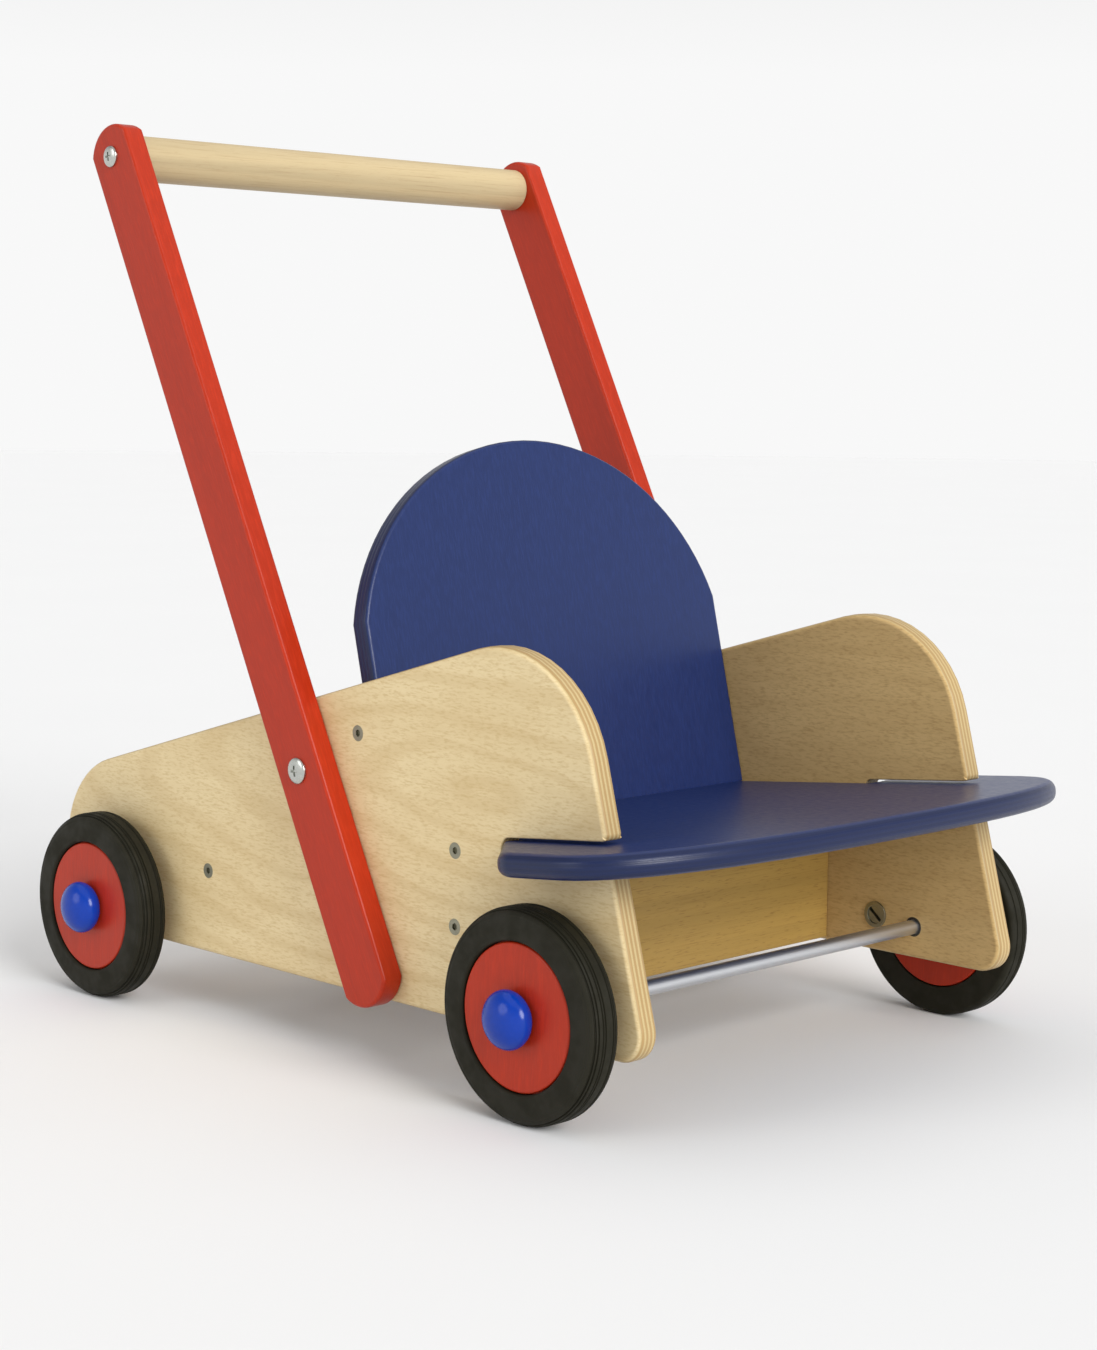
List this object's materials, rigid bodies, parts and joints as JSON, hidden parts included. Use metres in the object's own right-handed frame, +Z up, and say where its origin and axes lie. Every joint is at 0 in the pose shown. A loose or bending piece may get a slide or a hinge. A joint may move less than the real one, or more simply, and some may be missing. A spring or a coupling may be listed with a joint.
{
  "type": "baby walker",
  "caption": "Wooden push-along baby walker with a plywood seat and backrest, a push bar, rubber-tyred wheels and screw-adjusted wheel brakes.",
  "frame": {"origin": "on the floor, midway between the rear edge of the side panels and the front edge of the seat, on the plane of symmetry", "axes": "+X to the front, where the seat is; +Y to the left; +Z up"},
  "size_m": [0.506, 0.3702, 0.4883],
  "materials": {
    "birch_ply": "clear satin lacquer over pale birch plywood",
    "beech": "oiled beech with fine flecks",
    "blue_lacquer": "satin blue lacquer on plywood",
    "red_lacquer": "satin red lacquer on solid wood",
    "red_disc": "satin red lacquer on turned wood",
    "blue_plastic": "glossy moulded plastic",
    "tyre_rubber": "matt black rubber",
    "dark_nylon": "dark nylon",
    "axle_steel": "bright drawn steel",
    "zinc_steel": "zinc-plated steel",
    "brake_felt": "dense grey felt"
  },
  "bodies": {
    "root": {"side_panel_right": "birch_ply", "side_panel_left": "birch_ply", "seat_board": "blue_lacquer", "backrest": "blue_lacquer", "front_cross_board": "beech", "rear_cross_board": "beech", "cross_board_dowels": "beech", "panel_screws": "zinc_steel", "backrest_foot_screws": "zinc_steel", "handle_arm_right": "red_lacquer", "handle_arm_left": "red_lacquer", "handle_bar": "beech", "handle_end_screws": "zinc_steel", "arm_bolts": "zinc_steel", "arm_tee_nuts": "zinc_steel", "arm_dowels": "beech", "axle_bushes": "dark_nylon", "brake_inserts": "zinc_steel"},
    "front_axle": {"front_axle": "axle_steel", "front_axle_spacers": "dark_nylon", "hub_cap_front_right": "blue_plastic", "hub_cap_front_left": "blue_plastic"},
    "rear_axle": {"rear_axle": "axle_steel", "rear_axle_spacers": "dark_nylon", "hub_cap_rear_right": "blue_plastic", "hub_cap_rear_left": "blue_plastic"},
    "wheel_front_right": {"wheel_disc_front_right": "red_disc", "tyre_front_right": "tyre_rubber"},
    "wheel_front_left": {"wheel_disc_front_left": "red_disc", "tyre_front_left": "tyre_rubber"},
    "wheel_rear_right": {"wheel_disc_rear_right": "red_disc", "tyre_rear_right": "tyre_rubber"},
    "wheel_rear_left": {"wheel_disc_rear_left": "red_disc", "tyre_rear_left": "tyre_rubber"},
    "brake_pad_right": {"brake_pad_right": "brake_felt"},
    "brake_screw_right": {"brake_screw_right": "zinc_steel"},
    "brake_pad_left": {"brake_pad_left": "brake_felt"},
    "brake_screw_left": {"brake_screw_left": "zinc_steel"}
  },
  "joints": [
    {"name": "front_axle_spin", "type": "hinge", "parent": "root", "child": "front_axle", "pos_m": [0.155, 0, 0.0525], "axis": [0, 1, 0], "continuous": true},
    {"name": "wheel_front_right_spin", "type": "hinge", "parent": "front_axle", "child": "wheel_front_right", "pos_m": [0.155, -0.16275, 0.0525], "axis": [0, 1, 0], "continuous": true},
    {"name": "wheel_front_left_spin", "type": "hinge", "parent": "front_axle", "child": "wheel_front_left", "pos_m": [0.155, 0.16275, 0.0525], "axis": [0, 1, 0], "continuous": true},
    {"name": "rear_axle_spin", "type": "hinge", "parent": "root", "child": "rear_axle", "pos_m": [-0.195, 0, 0.0525], "axis": [0, 1, 0], "continuous": true},
    {"name": "wheel_rear_right_spin", "type": "hinge", "parent": "rear_axle", "child": "wheel_rear_right", "pos_m": [-0.195, -0.16275, 0.0525], "axis": [0, 1, 0], "continuous": true},
    {"name": "wheel_rear_left_spin", "type": "hinge", "parent": "rear_axle", "child": "wheel_rear_left", "pos_m": [-0.195, 0.16275, 0.0525], "axis": [0, 1, 0], "continuous": true},
    {"name": "brake_right_travel", "type": "slide", "parent": "root", "child": "brake_pad_right", "axis": [0, -1, 0], "range_m": [0, 0.0009]},
    {"name": "brake_right_turn", "type": "hinge", "parent": "brake_pad_right", "child": "brake_screw_right", "pos_m": [0.1288, -0.134, 0.0555], "axis": [0, -1, 0], "range_deg": [0, 259.3]},
    {"name": "brake_left_travel", "type": "slide", "parent": "root", "child": "brake_pad_left", "axis": [0, 1, 0], "range_m": [0, 0.0009]},
    {"name": "brake_left_turn", "type": "hinge", "parent": "brake_pad_left", "child": "brake_screw_left", "pos_m": [0.1288, 0.134, 0.0555], "axis": [0, 1, 0], "range_deg": [0, 259.3]}
  ],
  "couplings": [
    {"joint": "brake_right_turn", "follows": "brake_right_travel", "rad_per_m": 5026.5},
    {"joint": "brake_left_turn", "follows": "brake_left_travel", "rad_per_m": 5026.5}
  ]
}
